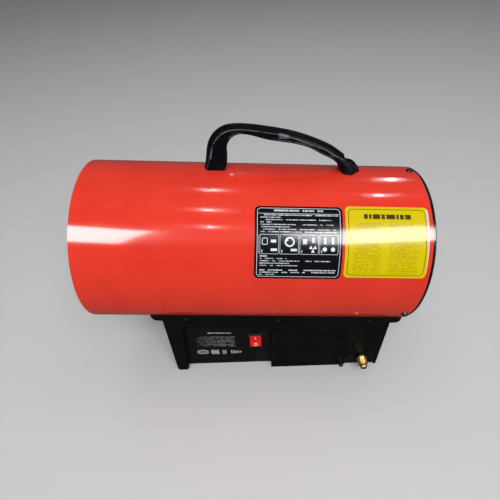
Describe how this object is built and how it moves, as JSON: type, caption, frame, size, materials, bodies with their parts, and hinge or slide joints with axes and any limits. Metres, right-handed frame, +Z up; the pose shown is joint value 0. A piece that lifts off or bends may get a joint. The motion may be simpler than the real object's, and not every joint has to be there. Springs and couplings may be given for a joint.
{
  "type": "portable propane heater",
  "caption": "Portable forced-air gas heater: a red barrel with a carrying handle on a black sheet base, with a rocker switch, a gas inlet and a fan behind a wire guard.",
  "frame": {"origin": "on the floor, under the middle of the barrel", "axes": "+X along the base from the hot-air outlet to the fan intake, -Y towards the side with the switch and the gas inlet, +Z up; the barrel's axis is tilted 4.16 degrees, outlet end up"},
  "size_m": [0.3885, 0.1905, 0.3182],
  "materials": {
    "red_paint": "gloss",
    "black_paint": "satin",
    "hoop_black": "gloss",
    "inlet_plate_grey": "satin",
    "handle_plastic": "satin, fine moulded grain",
    "black_screw": "satin black zinc",
    "zinc_steel": "zinc plated",
    "heat_steel": "heat-tinted sheet",
    "guard_chrome": "plated wire",
    "brass": "turned",
    "copper_pipe": "drawn copper tube",
    "ceramic_white": "unglazed",
    "label_black": "printed film",
    "label_yellow": "printed film",
    "switch_black": "moulded",
    "rocker_red": "moulded",
    "button_black": "moulded",
    "button_red": "moulded",
    "fan_aluminium": "pressed sheet",
    "motor_paint": "satin",
    "terminal_white": "moulded",
    "lead_insulation": "silicone",
    "sensor_lead": "capillary"
  },
  "bodies": {
    "heater": {"barrel_shell": "red_paint", "combustion_chamber": "heat_steel", "chamber_brackets": "zinc_steel", "outlet_baffle": "heat_steel", "outlet_guard": "guard_chrome", "rear_trim_hoop": "hoop_black", "fan_guard": "guard_chrome", "burner_plate": "heat_steel", "burner_cup": "heat_steel", "burner_bracket": "zinc_steel", "gas_jet": "brass", "spark_electrode": "ceramic_white", "electrode_rod": "zinc_steel", "thermocouple": "brass", "fan_motor": "motor_paint", "motor_bracket": "zinc_steel", "motor_end_cap": "motor_paint", "handle": "handle_plastic", "handle_screws": "black_screw", "rear_screws": "black_screw", "front_label": "label_black", "rear_label": "label_yellow", "saddle_tray": "black_paint", "tray_screws": "black_screw", "barrel_screws": "zinc_steel", "barrel_nuts": "zinc_steel", "near_side_plate": "black_paint", "far_side_plate": "black_paint", "control_panel": "black_paint", "front_end_plate": "black_paint", "rear_end_plate": "black_paint", "base_pan": "black_paint", "switch_housing": "switch_black", "gas_inlet": "brass", "inlet_nut": "brass", "inlet_lock_nut": "zinc_steel", "inlet_plate": "inlet_plate_grey", "inlet_screws": "zinc_steel", "safety_valve": "brass", "valve_spring": "zinc_steel", "valve_bracket": "zinc_steel", "piezo_igniter": "switch_black", "piezo_nut": "switch_black", "cable_gland": "button_black", "terminal_block": "terminal_white", "gas_pipe": "copper_pipe", "ignition_lead": "lead_insulation", "thermocouple_lead": "sensor_lead"},
    "fan_rotor": {"fan": "fan_aluminium", "motor_shaft": "zinc_steel", "fan_nut": "zinc_steel"},
    "rocker": {"switch_rocker": "rocker_red"},
    "gas_button": {"valve_button": "button_black"},
    "igniter_button": {"piezo_button": "button_red"}
  },
  "joints": [
    {"name": "fan_spin", "type": "hinge", "parent": "heater", "child": "fan_rotor", "pos_m": [0, 0, 0.17575], "axis": [0.9974, 0, -0.0725], "continuous": true},
    {"name": "switch_rock", "type": "hinge", "parent": "heater", "child": "rocker", "pos_m": [0.0016, -0.0691, 0.0595], "axis": [1, 0, 0], "range_deg": [0, 20]},
    {"name": "valve_button_press", "type": "slide", "parent": "heater", "child": "gas_button", "axis": [0, 1, 0], "range_m": [0, 0.005], "stiffness_N_per_m": 400, "springref_m": -0.002, "deforming": ["valve_spring"]},
    {"name": "piezo_button_press", "type": "slide", "parent": "heater", "child": "igniter_button", "axis": [-1, 0, 0], "range_m": [0, 0.006], "stiffness_N_per_m": 600, "springref_m": -0.002}
  ]
}
